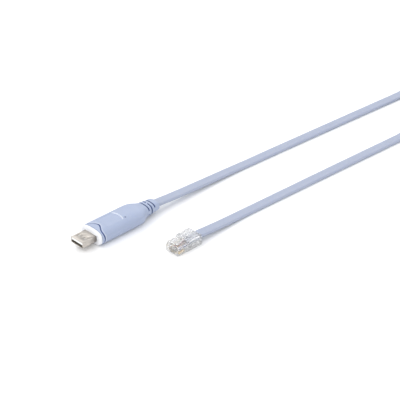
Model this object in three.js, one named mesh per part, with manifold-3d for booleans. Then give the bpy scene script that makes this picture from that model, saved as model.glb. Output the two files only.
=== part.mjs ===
// A USB to RJ45 console cable as it lies on a table, in millimetres, +Z up.
// The USB plug points to -X, its cord runs off to +X, and the clear 8-way plug lies on the -Y side.
import * as THREE from "three";
import { mergeVertices } from "three/addons/utils/BufferGeometryUtils.js";
import Module from "manifold-3d";

const wasm = await Module();
wasm.setup();

// General
const GAP = 0.3;
const SECTION_POWER = 3.0;

// USB plug: its front face is at x = 0 while building
const SHELL_WIDTH = 12.0;
const SHELL_HEIGHT = 4.5;
const SHEET = 0.3;
const SHELL_LENGTH = 15.6;
const SHELL_CORNER = 0.7;
const WINDOW_X = 5.2;
const WINDOW_Y = 2.9;
const WINDOW_LENGTH = 2.2;
const WINDOW_WIDTH = 2.4;
const TONGUE_THICKNESS = 1.7;
const TONGUE_SIDE_GAP = 0.15;
const TONGUE_FRONT = 0.25;
const USB_CONTACT_Y = [-3.5, -1.0, 1.0, 3.5];
const USB_CONTACT_WIDTH = 1.1;
const USB_CONTACT_THICKNESS = 0.25;
const USB_CONTACT_FRONT = 1.2;

// Housing: white collar, then the blue moulding with its ribbed tail
const HALF_WIDTH = 10.1;
const HALF_HEIGHT = 5.5;
const AXIS_Z = HALF_HEIGHT;
const COLLAR_X = 12.0;
const COLLAR_LENGTH = 1.9;
const HOUSING_X = COLLAR_X + COLLAR_LENGTH + GAP;
const SEAM_TOP = [17.5, 1.75];
const SEAM_SIDE = [16.05, 0.3];
const SEAM_WIDTH = 0.75;
const SEAM_DEPTH = 0.8;
const PANEL_FRONT = 22.0;
const PANEL_REAR = 37.2;
const PANEL_HALF_WIDTH = 5.7;
const PANEL_DEPTH = 0.55;
const PANEL_REAR_CURVE = 0.045;
const LIGHT_X = 38.5;
const LIGHT_Y = -5.0;
const LIGHT_RADIUS = 0.55;
const LIGHT_DEPTH = 1.2;
const TAIL_END_X = 70.0;
const SLOT_X = [59.3, 62.2, 65.1];
const SLOT_WIDTH = 1.0;
const SLOT_CORE = [4.6, 2.2];
const SIDE_BRIDGE = 1.4;
const TOP_BRIDGE = 0.7;

// Flat cord
const CORD_WIDTH = 8.0;
const CORD_THICKNESS = 2.4;
const CORD_REST_Z = CORD_THICKNESS / 2 + 0.05;

// Clear plug: its front face is at t = 0 in its own frame
const PLUG_X = 42.0;
const PLUG_Y = -47.0;
const PLUG_WIDTH = 11.68;
const PLUG_LENGTH = 21.4;
const PLUG_FRONT_HEIGHT = 6.4;
const PLUG_REAR_HEIGHT = 8.1;
const NOSE_HEIGHT = 4.4;
const NOSE_LENGTH = 1.3;
const STEP_T = 8.6;
const WAYS = 8;
const PITCH = 1.02;
const BLADE_THICKNESS = 0.3;
const BLADE_SLOT = 0.66;
const BLADE_FRONT = 0.9;
const BLADE_LENGTH = 6.0;
const BLADE_BOTTOM = 0.5;
const BLADE_TOP = 3.4;
const BLADE_SHOULDER = 2.3;
const BLADE_ROUND = 0.7;
const BLADE_PRONGS = [5.6, 2.8];
const WIRE_RADIUS = 0.37;
const WIRE_Z = 4.3;
const WIRE_FRONT = 2.0;
const WIRE_PITCH_AT_JACKET = 0.92;
const JACKET_FRONT = 11.4;
const JACKET_Z = 4.4;
const JACKET_CLEARANCE = 0.25;
const POCKET_T = [12.6, 15.6, 16.8];
const POCKET_ROOF = 1.0;
const POCKET_HALF = 3.6;

// Latch of the clear plug
const LATCH_ROOT_T = 1.7;
const LATCH_BASE_HALF = 3.1;
const LATCH_TAB_HALF = 2.1;
const LATCH_SHOULDER_T = 8.0;
const LATCH_END_T = 18.0;
const LATCH_THICKNESS = 0.8;
const LATCH_BEND_T = 3.0;
const LATCH_BEND_RISE = 0.55;
const LATCH_SHOULDER_RISE = 2.15;
const LATCH_END_RISE = 3.7;

// Coil that puts the unseen cord away, standing on edge
const TURN_PITCH = 2.9;
const FIRST_TURN = 34.0;
const LAST_TURN = 47.74;
const COIL_X = 383.0;
const COIL_Y = -47.5;
const COIL_INNER = FIRST_TURN - TURN_PITCH / 2;
const COIL_OUTER = LAST_TURN + TURN_PITCH / 2;
const COIL_FLOOR = 0.9;
const S_ANGLE = -30.0;
const S_SPAN = 0.73;
const TIE_GAP = 0.4;
const TIE_THICKNESS = 0.45;
const TIE_WIDTH = 7.0;

// The whole part is moved so that the two plugs' box is centred on the origin
const SHIFT_X = -TAIL_END_X / 2;
const SHIFT_Y = -(HALF_WIDTH + PLUG_Y - PLUG_WIDTH / 2) / 2;

const COLOURS = {
  nickel: 0xc9c4bb,
  insulator: 0xf4f4f2,
  gold: 0xc9a24a,
  collar: 0xf1f2f6,
  blue: 0xb9c6dd,
  clear: 0xdfe6ea,
  tie: 0x2b2d31,
};
const WIRE_COLOURS = [0x3b5aa8, 0xd9822b, 0x2b2b28, 0xc8323c, 0x1f7d68, 0xe3cf52, 0x7a5236, 0xe8e8e6];

const group = new THREE.Group();
group.name = "console_cable";

// A closed mesh from rings of points, with both ends capped
function loft(rings) {
  const sides = rings[0].length;
  const positions = [];
  const index = [];
  for (const ring of rings) {
    for (const point of ring) positions.push(...point);
  }
  for (let i = 0; i + 1 < rings.length; i++) {
    for (let j = 0; j < sides; j++) {
      const a = i * sides + j;
      const b = i * sides + ((j + 1) % sides);
      index.push(a, b, b + sides, a, b + sides, a + sides);
    }
  }
  const last = (rings.length - 1) * sides;
  for (let j = 1; j + 1 < sides; j++) {
    index.push(0, j + 1, j);
    index.push(last, last + j, last + j + 1);
  }
  const geometry = new THREE.BufferGeometry();
  geometry.setAttribute("position", new THREE.Float32BufferAttribute(positions, 3));
  geometry.setIndex(index);
  return geometry;
}

// A band that closes on itself: every ring is a small section, and the last joins the first
function closedBand(rings) {
  const sides = rings[0].length;
  const positions = rings.flat(2);
  const index = [];
  for (let i = 0; i < rings.length; i++) {
    const next = (i + 1) % rings.length;
    for (let j = 0; j < sides; j++) {
      const k = (j + 1) % sides;
      index.push(i * sides + j, i * sides + k, next * sides + k);
      index.push(i * sides + j, next * sides + k, next * sides + j);
    }
  }
  const geometry = new THREE.BufferGeometry();
  geometry.setAttribute("position", new THREE.Float32BufferAttribute(positions, 3));
  geometry.setIndex(index);
  return geometry;
}

function solid(geometry) {
  const bare = new THREE.BufferGeometry();
  bare.setAttribute("position", geometry.getAttribute("position").clone());
  if (geometry.index) bare.setIndex(geometry.index.clone());
  const merged = mergeVertices(bare, 1e-5);
  const mesh = new wasm.Mesh({
    numProp: 3,
    vertProperties: new Float32Array(merged.getAttribute("position").array),
    triVerts: new Uint32Array(merged.index.array),
  });
  const made = new wasm.Manifold(mesh);
  if (made.volume() > 0) return made;
  const flipped = Uint32Array.from(merged.index.array);
  for (let i = 0; i < flipped.length; i += 3) {
    [flipped[i], flipped[i + 1]] = [flipped[i + 1], flipped[i]];
  }
  return new wasm.Manifold(new wasm.Mesh({ ...mesh, numProp: 3, triVerts: flipped }));
}

function box(x0, x1, y0, y1, z0, z1) {
  return wasm.Manifold.cube([x1 - x0, y1 - y0, z1 - z0]).translate([x0, y0, z0]);
}

function add(name, material, shape, colour) {
  const mesh = shape.getMesh();
  const geometry = new THREE.BufferGeometry();
  geometry.setAttribute("position", new THREE.Float32BufferAttribute(mesh.vertProperties, 3));
  geometry.setIndex(new THREE.Uint32BufferAttribute(mesh.triVerts, 1));
  geometry.translate(SHIFT_X, SHIFT_Y, 0);
  geometry.computeVertexNormals();
  const node = new THREE.Mesh(geometry, new THREE.MeshStandardMaterial({ name: material, color: colour }));
  node.name = name;
  group.add(node);
}

// One ring of the housing's oval section, across the X axis
function oval(x, halfWidth, halfHeight, sides = 48) {
  const ring = [];
  for (let i = 0; i < sides; i++) {
    const angle = (2 * Math.PI * i) / sides;
    const c = Math.cos(angle);
    const s = Math.sin(angle);
    const y = halfWidth * Math.sign(c) * Math.abs(c) ** (2 / SECTION_POWER);
    const z = halfHeight * Math.sign(s) * Math.abs(s) ** (2 / SECTION_POWER);
    ring.push([x, y, AXIS_Z + z]);
  }
  return ring;
}

// One ring of a rectangle with rounded corners, centred on the USB plug's axis
function roundedRect(x, halfWidth, halfHeight, radius, steps = 3) {
  const ring = [];
  for (const [sy, sz, start] of [[1, 1, 0], [-1, 1, 1], [-1, -1, 2], [1, -1, 3]]) {
    for (let i = 0; i <= steps; i++) {
      const angle = ((start + i / steps) * Math.PI) / 2;
      const y = sy * (halfWidth - radius) + radius * Math.cos(angle);
      const z = sz * (halfHeight - radius) + radius * Math.sin(angle);
      ring.push([x, y, AXIS_Z + z]);
    }
  }
  return ring;
}

function bar(x0, x1, width, height, radius) {
  return solid(loft([x0, x1].map((x) => roundedRect(x, width / 2, height / 2, radius))));
}

const shellInnerWidth = SHELL_WIDTH - 2 * SHEET;
const shellInnerHeight = SHELL_HEIGHT - 2 * SHEET;
let shell = bar(0, SHELL_LENGTH, SHELL_WIDTH, SHELL_HEIGHT, SHELL_CORNER);
shell = shell.subtract(bar(-1, SHELL_LENGTH + 1, shellInnerWidth, shellInnerHeight, SHELL_CORNER - SHEET));
for (const y of [-WINDOW_Y, WINDOW_Y]) {
  const x0 = WINDOW_X - WINDOW_LENGTH / 2;
  const y0 = y - WINDOW_WIDTH / 2;
  shell = shell.subtract(box(x0, x0 + WINDOW_LENGTH, y0, y0 + WINDOW_WIDTH, 0, AXIS_Z * 2));
}
add("usb_shell", "nickel", shell, COLOURS.nickel);

const tongueTop = AXIS_Z + shellInnerHeight / 2 - TONGUE_SIDE_GAP;
const tongueBottom = tongueTop - TONGUE_THICKNESS;
const tongueHalf = shellInnerWidth / 2 - TONGUE_SIDE_GAP;
const tongueRear = COLLAR_X - 0.2;
const coreBottom = AXIS_Z - shellInnerHeight / 2 + TONGUE_SIDE_GAP;
let tongue = box(TONGUE_FRONT, SHELL_LENGTH, -tongueHalf, tongueHalf, tongueBottom, tongueTop);
tongue = tongue.add(box(tongueRear, SHELL_LENGTH, -tongueHalf, tongueHalf, coreBottom, tongueTop));
const contactGap = 0.12;
const contactTop = tongueBottom + USB_CONTACT_THICKNESS;
for (const y of USB_CONTACT_Y) {
  const half = USB_CONTACT_WIDTH / 2 + contactGap;
  const x0 = USB_CONTACT_FRONT - contactGap;
  tongue = tongue.subtract(box(x0, tongueRear, y - half, y + half, tongueBottom - 1, contactTop + contactGap));
}
add("usb_tongue", "insulator", tongue, COLOURS.insulator);
USB_CONTACT_Y.forEach((y, i) => {
  const half = USB_CONTACT_WIDTH / 2;
  const bottom = contactTop - USB_CONTACT_THICKNESS;
  const contact = box(USB_CONTACT_FRONT, tongueRear - contactGap, y - half, y + half, bottom, contactTop);
  add(`usb_contact_${i + 1}`, "gold", contact, COLOURS.gold);
});

// White collar round the root of the shell
let collar = solid(loft([
  oval(COLLAR_X, HALF_WIDTH - 1.0, HALF_HEIGHT - 0.75),
  oval(COLLAR_X + 0.2, HALF_WIDTH - 0.55, HALF_HEIGHT - 0.4),
  oval(COLLAR_X + 0.6, HALF_WIDTH - 0.3, HALF_HEIGHT - 0.2),
  oval(COLLAR_X + COLLAR_LENGTH, HALF_WIDTH - 0.2, HALF_HEIGHT - 0.12),
]));
const shellHole = [SHELL_WIDTH + 2 * GAP, SHELL_HEIGHT + 2 * GAP, SHELL_CORNER + GAP];
collar = collar.subtract(bar(COLLAR_X - 1, HOUSING_X + 1, ...shellHole));
add("white_collar", "white_plastic", collar, COLOURS.collar);

// Blue housing: [x, half width, half height] down to the end of the ribbed tail
const HOUSING_STATIONS = [
  [HOUSING_X, HALF_WIDTH - 0.25, HALF_HEIGHT - 0.2],
  [HOUSING_X + 0.3, HALF_WIDTH - 0.08, HALF_HEIGHT - 0.06],
  [HOUSING_X + 0.9, HALF_WIDTH, HALF_HEIGHT],
  [30.0, HALF_WIDTH, HALF_HEIGHT],
  [46.0, HALF_WIDTH, HALF_HEIGHT],
  [48.5, HALF_WIDTH - 0.1, HALF_HEIGHT],
  [50.5, HALF_WIDTH - 0.35, HALF_HEIGHT - 0.06],
  [52.2, HALF_WIDTH - 0.85, HALF_HEIGHT - 0.16],
  [53.7, HALF_WIDTH - 1.6, HALF_HEIGHT - 0.34],
  [55.0, HALF_WIDTH - 2.45, HALF_HEIGHT - 0.6],
  [56.2, HALF_WIDTH - 3.15, HALF_HEIGHT - 0.9],
  [57.4, 6.5, 4.35],
  [58.6, 6.2, 4.15],
  [63.0, 5.75, 3.8],
  [68.6, 5.2, 3.35],
  [69.5, 4.95, 3.1],
  [TAIL_END_X, 4.5, 2.7],
];
let housing = solid(loft(HOUSING_STATIONS.map(([x, w, h]) => oval(x, w, h))));
housing = housing.subtract(bar(HOUSING_X - 1, SHELL_LENGTH + GAP, ...shellHole));

// Wavy groove round the front of the housing: furthest back in the middle of the top, forward at the corners
const grooveRings = [];
const corner = 0.5 ** (1 / SECTION_POWER);
const seamAt = (y, z) => {
  const across = Math.abs(y) / HALF_WIDTH;
  const up = Math.abs(z) / HALF_HEIGHT;
  const [middle, wave] = up > across ? SEAM_TOP : SEAM_SIDE;
  return middle + wave * Math.cos((Math.PI * Math.min(across, up)) / corner);
};
for (let i = 0; i < 64; i++) {
  const at = (scale) => oval(0, HALF_WIDTH + scale, HALF_HEIGHT + scale, 64)[i];
  const x = seamAt(at(0)[1], at(0)[2] - AXIS_Z);
  const outer = at(1);
  const inner = at(-SEAM_DEPTH);
  const half = SEAM_WIDTH / 2;
  grooveRings.push([
    [x - half * 1.6, outer[1], outer[2]],
    [x + half * 1.6, outer[1], outer[2]],
    [x + half * 0.6, inner[1], inner[2]],
    [x - half * 0.6, inner[1], inner[2]],
  ]);
}
housing = housing.subtract(solid(closedBand(grooveRings)));

// Shallow bare panel on the top, with a bowed rear edge
const panelTop = 2 * HALF_HEIGHT;
const panelOutline = [[PANEL_FRONT, -PANEL_HALF_WIDTH], [PANEL_FRONT, PANEL_HALF_WIDTH]];
for (let i = 0; i <= 12; i++) {
  const y = PANEL_HALF_WIDTH * (1 - i / 6);
  panelOutline.push([PANEL_REAR - PANEL_REAR_CURVE * y * y, y]);
}
const panelShape = new THREE.Shape(panelOutline.map(([x, y]) => new THREE.Vector2(x, y)));
const panelCut = new THREE.ExtrudeGeometry(panelShape, { depth: 2, bevelEnabled: false });
panelCut.translate(0, 0, panelTop - PANEL_DEPTH);
housing = housing.subtract(solid(panelCut));

// Small hole for a status light beside the panel's rear end
const holeTop = 2 * HALF_HEIGHT;
const hole = wasm.Manifold.cylinder(LIGHT_DEPTH + 2, LIGHT_RADIUS, LIGHT_RADIUS, 20);
housing = housing.subtract(hole.translate([LIGHT_X, LIGHT_Y, holeTop - LIGHT_DEPTH]));

// Slots of the ribbed tail: over and under, then both sides, then over and under
SLOT_X.forEach((x, i) => {
  const ring = (grow) => [x - SLOT_WIDTH / 2, x + SLOT_WIDTH / 2].map((at) => oval(at, ...grow));
  let slot = solid(loft(ring([HALF_WIDTH, HALF_HEIGHT])));
  slot = slot.subtract(solid(loft([x - SLOT_WIDTH, x + SLOT_WIDTH].map((at) => oval(at, ...SLOT_CORE)))));
  const bridge = i === 1
    ? box(x - SLOT_WIDTH, x + SLOT_WIDTH, -TOP_BRIDGE, TOP_BRIDGE, 0, 2 * AXIS_Z)
    : box(x - SLOT_WIDTH, x + SLOT_WIDTH, -HALF_WIDTH, HALF_WIDTH, AXIS_Z - SIDE_BRIDGE, AXIS_Z + SIDE_BRIDGE);
  housing = housing.subtract(slot.subtract(bridge));
});
add("housing", "blue_plastic", housing, COLOURS.blue);

// Clear plug, built along +X from its front face, then moved to its place
const place = (shape) => shape.translate([PLUG_X, PLUG_Y, 0]);
function sidePlate(outline, halfWidth) {
  const shape = new THREE.Shape(outline.map(([t, z]) => new THREE.Vector2(t, z)));
  const plate = new THREE.ExtrudeGeometry(shape, { depth: 2 * halfWidth, bevelEnabled: false });
  plate.rotateX(Math.PI / 2);
  plate.translate(0, halfWidth, 0);
  return solid(plate);
}
let plug = sidePlate([
  [0, 0],
  [PLUG_LENGTH, 0],
  [PLUG_LENGTH, PLUG_REAR_HEIGHT - 0.3],
  [PLUG_LENGTH - 0.3, PLUG_REAR_HEIGHT],
  [STEP_T + 0.8, PLUG_REAR_HEIGHT],
  [STEP_T, PLUG_FRONT_HEIGHT],
  [NOSE_LENGTH, PLUG_FRONT_HEIGHT],
  [0, NOSE_HEIGHT],
], PLUG_WIDTH / 2);
const wayY = (i, pitch = PITCH) => (i - (WAYS - 1) / 2) * pitch;
for (let i = 0; i < WAYS; i++) {
  const y = wayY(i);
  const t0 = BLADE_FRONT - 0.2;
  const t1 = BLADE_FRONT + BLADE_LENGTH + 0.2;
  plug = plug.subtract(box(t0, t1, y - BLADE_SLOT / 2, y + BLADE_SLOT / 2, -1, WIRE_Z));
}
const wireRoom = WAYS * PITCH / 2 + 0.1;
plug = plug.subtract(box(WIRE_FRONT - 0.4, JACKET_FRONT, -wireRoom, wireRoom, WIRE_Z - 0.6, WIRE_Z + 0.6));
const jacketHalf = CORD_WIDTH / 2 + JACKET_CLEARANCE;
const jacketRise = CORD_THICKNESS / 2 + JACKET_CLEARANCE;
const jacketRoom = [JACKET_Z - jacketRise, JACKET_Z + jacketRise];
plug = plug.subtract(box(JACKET_FRONT - 0.4, PLUG_LENGTH + 1, -jacketHalf, jacketHalf, ...jacketRoom));
plug = plug.subtract(sidePlate([
  [POCKET_T[0], -1],
  [POCKET_T[2], -1],
  [POCKET_T[2], JACKET_Z],
  [POCKET_T[1], JACKET_Z - jacketRise],
  [POCKET_T[0], POCKET_ROOF],
], POCKET_HALF));
add("plug_body", "clear_plastic", place(plug), COLOURS.clear);

// Blades: rounded at the front, with two prongs up towards the wire
const bladeRear = BLADE_FRONT + BLADE_LENGTH;
const bladeOutline = [
  [BLADE_FRONT, BLADE_BOTTOM + BLADE_ROUND],
  [BLADE_FRONT + 0.3 * BLADE_ROUND, BLADE_BOTTOM + 0.3 * BLADE_ROUND],
  [BLADE_FRONT + BLADE_ROUND, BLADE_BOTTOM],
  [bladeRear, BLADE_BOTTOM],
  [bladeRear, BLADE_SHOULDER],
];
for (const t of BLADE_PRONGS) {
  bladeOutline.push([t + BLADE_THICKNESS, BLADE_SHOULDER], [t, BLADE_TOP], [t - BLADE_THICKNESS, BLADE_SHOULDER]);
}
bladeOutline.push([BLADE_FRONT, BLADE_SHOULDER]);
for (let i = 0; i < WAYS; i++) {
  const blade = sidePlate(bladeOutline, BLADE_THICKNESS / 2).translate([0, wayY(i), 0]);
  add(`plug_contact_${i + 1}`, "gold", place(blade), COLOURS.gold);
}

// Wires fan out from the jacket to the contacts' pitch
for (let i = 0; i < WAYS; i++) {
  const route = [
    [WIRE_FRONT, wayY(i)],
    [JACKET_FRONT - 3.4, wayY(i)],
    [JACKET_FRONT - 1.4, wayY(i, WIRE_PITCH_AT_JACKET)],
    [JACKET_FRONT - GAP, wayY(i, WIRE_PITCH_AT_JACKET)],
  ];
  const rings = route.map(([t, y]) => {
    const ring = [];
    for (let k = 0; k < 8; k++) {
      const angle = (2 * Math.PI * k) / 8;
      ring.push([t, y + WIRE_RADIUS * Math.cos(angle), WIRE_Z + WIRE_RADIUS * Math.sin(angle)]);
    }
    return ring;
  });
  add(`wire_${i + 1}`, `wire_${i + 1}`, place(solid(loft(rings))), WIRE_COLOURS[i]);
}

// Latch: wide base, shoulders, then a narrower tab that rises to the rear
const latchLow = [
  [LATCH_ROOT_T, PLUG_FRONT_HEIGHT + GAP],
  [LATCH_BEND_T, PLUG_FRONT_HEIGHT + LATCH_BEND_RISE],
  [LATCH_SHOULDER_T, PLUG_FRONT_HEIGHT + LATCH_SHOULDER_RISE],
  [LATCH_END_T, PLUG_FRONT_HEIGHT + LATCH_END_RISE],
];
const latchHigh = latchLow.slice(1).reverse().map(([t, z]) => [t, z + LATCH_THICKNESS]);
const latchRoot = [LATCH_ROOT_T, PLUG_FRONT_HEIGHT + GAP + 0.6 * LATCH_THICKNESS];
let latch = sidePlate([...latchLow, ...latchHigh, latchRoot], LATCH_BASE_HALF);
for (const side of [-1, 1]) {
  const y0 = side > 0 ? LATCH_TAB_HALF : -LATCH_BASE_HALF - 1;
  const y1 = side > 0 ? LATCH_BASE_HALF + 1 : -LATCH_TAB_HALF;
  latch = latch.subtract(box(LATCH_SHOULDER_T, LATCH_END_T + 1, y0, y1, 0, 20));
}
add("plug_latch", "clear_plastic", place(latch), COLOURS.clear);

// Flat cord: a rounded section swept along points [x, y, z, turn], turn in degrees from lying flat
function flatCord(points) {
  const curve = new THREE.CatmullRomCurve3(points.map(([x, y, z]) => new THREE.Vector3(x, y, z)));
  const rings = points.map(([x, y, z, turn], i) => {
    const tangent = curve.getTangent(i / (points.length - 1));
    const level = new THREE.Vector3(-tangent.y, tangent.x, 0).normalize();
    const up = new THREE.Vector3().crossVectors(tangent, level);
    const angle = THREE.MathUtils.degToRad(turn);
    const side = level.clone().multiplyScalar(Math.cos(angle)).addScaledVector(up, Math.sin(angle));
    const face = new THREE.Vector3().crossVectors(tangent, side);
    const ring = [];
    const radius = CORD_THICKNESS / 2;
    for (const end of [1, -1]) {
      for (let k = 0; k < 6; k++) {
        const a = -Math.PI / 2 + (Math.PI * k) / 5 + (end < 0 ? Math.PI : 0);
        const across = end * (CORD_WIDTH / 2 - radius) + radius * Math.cos(a);
        const p = new THREE.Vector3(x, y, z).addScaledVector(side, across);
        ring.push(p.addScaledVector(face, radius * Math.sin(a)).toArray());
      }
    }
    return ring;
  });
  return solid(loft(rings));
}

// End of the cord held in the clear plug
const plugRear = PLUG_X + PLUG_LENGTH;
add("cord_end_in_plug", "blue_cord", flatCord([
  [PLUG_X + JACKET_FRONT, PLUG_Y, JACKET_Z, 0],
  [PLUG_X + JACKET_FRONT + 5, PLUG_Y, JACKET_Z, 0],
  [plugRear - 0.1, PLUG_Y, JACKET_Z, 0],
]), COLOURS.blue);

// Free cord from the housing's tail to the coil, and from the clear plug to the coil
const edgeZ = COIL_FLOOR + CORD_WIDTH / 2;
const USB_STRAND = [
  [TAIL_END_X + GAP, 0, AXIS_Z, 0],
  [76, -0.1, 5.3, 0],
  [84, -0.3, 4.8, 0],
  [98, -0.3, 4.0, 0],
  [114, -0.1, 3.1, 0],
  [130, 0, 2.3, 0],
  [146, -0.1, 1.65, 0],
  [162, -0.7, CORD_REST_Z, 0],
  [180, -1.5, CORD_REST_Z, 0],
  [220, -3.6, CORD_REST_Z, 0],
  [260, -5.8, CORD_REST_Z, 0],
  [300, -8.0, CORD_REST_Z, 0],
  [322, -9.2, CORD_REST_Z, 0],
  [330, -9.2, 1.4, 3],
  [338, -8.5, 2.0, 14],
  [345, -7.2, 3.1, 38],
  [350.5, -6.0, 4.2, 64],
  [355.7, -4.8, edgeZ, 88],
];
add("cord_usb_side", "blue_cord", flatCord(USB_STRAND), COLOURS.blue);

const PLUG_STRAND = [
  [plugRear + GAP, PLUG_Y, JACKET_Z, 0],
  [72, -47.1, 3.8, 0],
  [84, -47.0, 2.9, 0],
  [96, -46.7, 2.1, 0],
  [108, -46.5, 1.5, 0],
  [120, -46.8, CORD_REST_Z, 0],
  [150, -48.0, CORD_REST_Z, 0],
  [190, -49.6, CORD_REST_Z, 0],
  [230, -51.35, CORD_REST_Z, 0],
  [264, -52.9, CORD_REST_Z, 0],
  [272, -53.3, 1.35, 3],
  [280.9, -53.7, 1.9, 12],
  [291.9, -53.1, 3.0, 34],
  [303.1, -50.5, 3.9, 54],
  [313.1, -45.9, 4.6, 74],
  [322.1, -39.7, edgeZ, 86],
  [329.5, -33.4, edgeZ, 90],
  [336.9, -27.1, edgeZ, 90],
];
add("cord_plug_side", "blue_cord", flatCord(PLUG_STRAND), COLOURS.blue);

// Coil of the unseen cord: one ring of turns, and the S by which its two strands join in the bore
const coilTop = COIL_FLOOR + CORD_WIDTH;
const coilOutline = [
  [COIL_INNER, COIL_FLOOR],
  [COIL_OUTER, COIL_FLOOR],
  [COIL_OUTER, coilTop],
  [COIL_INNER, coilTop],
  [COIL_INNER, COIL_FLOOR],
].map(([r, z]) => new THREE.Vector2(r, z));
const coil = new THREE.LatheGeometry(coilOutline, 64);
coil.rotateX(Math.PI / 2);
add("cord_coil", "blue_cord", solid(coil).translate([COIL_X, COIL_Y, 0]), COLOURS.blue);

const sTurn = [];
for (let i = 0; i <= 24; i++) {
  const along = i / 12 - 1;
  const angle = Math.PI * (1 - S_SPAN * Math.abs(along));
  const x = Math.sign(along) * (FIRST_TURN / 2) * (1 + Math.cos(angle));
  const y = -Math.sign(along) * (FIRST_TURN / 2) * Math.sin(angle);
  const at = new THREE.Vector2(x, y).rotateAround(new THREE.Vector2(), THREE.MathUtils.degToRad(S_ANGLE));
  sTurn.push([COIL_X + at.x, COIL_Y + at.y, edgeZ, 90]);
}
add("cord_coil_middle", "blue_cord", flatCord(sTurn), COLOURS.blue);

// Tie round all the turns, on the side away from the strands
const tieIn = [COIL_X + COIL_INNER - TIE_GAP, COIL_X + COIL_OUTER + TIE_GAP];
const tieUp = [COIL_FLOOR - TIE_GAP, coilTop + TIE_GAP];
const tieY = [COIL_Y - TIE_WIDTH / 2, COIL_Y + TIE_WIDTH / 2];
const tieOuter = [tieIn[0] - TIE_THICKNESS, tieIn[1] + TIE_THICKNESS];
const tieHigh = [tieUp[0] - TIE_THICKNESS, tieUp[1] + TIE_THICKNESS];
const tie = box(...tieOuter, ...tieY, ...tieHigh).subtract(box(...tieIn, tieY[0] - 1, tieY[1] + 1, ...tieUp));
add("coil_tie", "tie", tie, COLOURS.tie);

export default group;
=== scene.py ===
# Looks for the console cable: a blue moulded USB plug, a flat cord and a clear 8-way plug on a white table.
import math

import bmesh
import bpy
from mathutils import Matrix, Vector


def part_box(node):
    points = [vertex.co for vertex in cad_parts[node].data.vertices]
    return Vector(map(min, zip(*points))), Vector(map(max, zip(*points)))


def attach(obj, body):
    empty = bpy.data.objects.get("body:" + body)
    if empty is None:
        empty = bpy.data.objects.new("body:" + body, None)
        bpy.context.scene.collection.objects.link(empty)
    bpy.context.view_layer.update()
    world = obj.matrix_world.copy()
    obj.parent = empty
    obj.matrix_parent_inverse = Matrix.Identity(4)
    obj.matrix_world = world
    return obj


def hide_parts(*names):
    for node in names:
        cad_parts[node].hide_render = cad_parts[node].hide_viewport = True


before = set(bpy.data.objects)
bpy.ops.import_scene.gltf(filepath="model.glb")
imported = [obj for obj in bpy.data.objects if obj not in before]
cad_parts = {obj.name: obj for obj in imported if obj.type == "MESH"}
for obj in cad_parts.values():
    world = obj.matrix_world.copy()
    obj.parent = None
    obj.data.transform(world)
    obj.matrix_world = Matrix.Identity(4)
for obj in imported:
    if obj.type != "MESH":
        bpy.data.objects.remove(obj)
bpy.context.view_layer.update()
BODY = "cable"
LATCH = "latch"

# Sizes are in metres. The two plugs' own starting points in the frame come from their nodes' boxes.
MM = 0.001
shell_low, shell_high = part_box("usb_shell")
plug_low, plug_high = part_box("plug_body")
coil_low, coil_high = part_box("cord_coil")
housing_low, housing_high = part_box("housing")
USB_X = shell_low[0]
USB_Y = (shell_low[1] + shell_high[1]) / 2
AXIS_Z = (shell_low[2] + shell_high[2]) / 2
PLUG_X = plug_low[0]
PLUG_Y = (plug_low[1] + plug_high[1]) / 2


# Camera and light

VIEW_TARGET = (USB_X + 101.7 * MM, USB_Y - 11.7 * MM, 0.0)
VIEW_AZIMUTH = math.radians(-44.04)
VIEW_ELEVATION = math.radians(31.64)
VIEW_DISTANCE = 1.0
VIEW_LENS = 128.9
LIGHT_DISTANCE = 3.0
TABLE_HALF = 4.0


def look_at(obj, place, target):
    obj.location = place
    obj.rotation_euler = (Vector(target) - Vector(place)).to_track_quat("-Z", "Y").to_euler()


def around(target, azimuth, elevation, distance):
    return Vector(target) + distance * Vector((
        math.sin(azimuth) * math.cos(elevation),
        -math.cos(azimuth) * math.cos(elevation),
        math.sin(elevation),
    ))


def add_camera():
    camera = bpy.data.objects.new("camera", bpy.data.cameras.new("camera"))
    bpy.context.collection.objects.link(camera)
    camera.data.lens = VIEW_LENS
    camera.data.sensor_width = 36.0
    camera.data.clip_start = 0.01
    camera.data.clip_end = 20.0
    look_at(camera, around(VIEW_TARGET, VIEW_AZIMUTH, VIEW_ELEVATION, VIEW_DISTANCE), VIEW_TARGET)
    bpy.context.scene.camera = camera


def add_light(name, azimuth, elevation, size, power):
    data = bpy.data.lights.new(name, "AREA")
    data.shape = "RECTANGLE"
    data.size, data.size_y = size
    data.energy = power
    light = bpy.data.objects.new(name, data)
    bpy.context.collection.objects.link(light)
    place = around(VIEW_TARGET, math.radians(azimuth), math.radians(elevation), LIGHT_DISTANCE)
    look_at(light, place, VIEW_TARGET)


def add_studio():
    world = bpy.data.worlds.new("studio")
    bpy.context.scene.world = world
    world.use_nodes = True
    background = world.node_tree.nodes["Background"]
    background.inputs["Color"].default_value = (0.98, 0.985, 1.0, 1)
    background.inputs["Strength"].default_value = 1.04
    add_light("key", -110, 58, (2.2, 1.8), 22)
    add_light("fill", -50, 24, (2.4, 1.4), 18)
    add_light("back", 140, 36, (2.8, 1.4), 11)
    bpy.context.scene.view_settings.view_transform = "Standard"
    mesh = bpy.data.meshes.new("floor")
    corners = [(-TABLE_HALF, -TABLE_HALF, 0), (TABLE_HALF, -TABLE_HALF, 0), (TABLE_HALF, TABLE_HALF, 0),
               (-TABLE_HALF, TABLE_HALF, 0)]
    mesh.from_pydata(corners, [], [(0, 1, 2, 3)])
    floor = bpy.data.objects.new("floor", mesh)
    bpy.context.collection.objects.link(floor)
    return floor


# Materials


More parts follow.
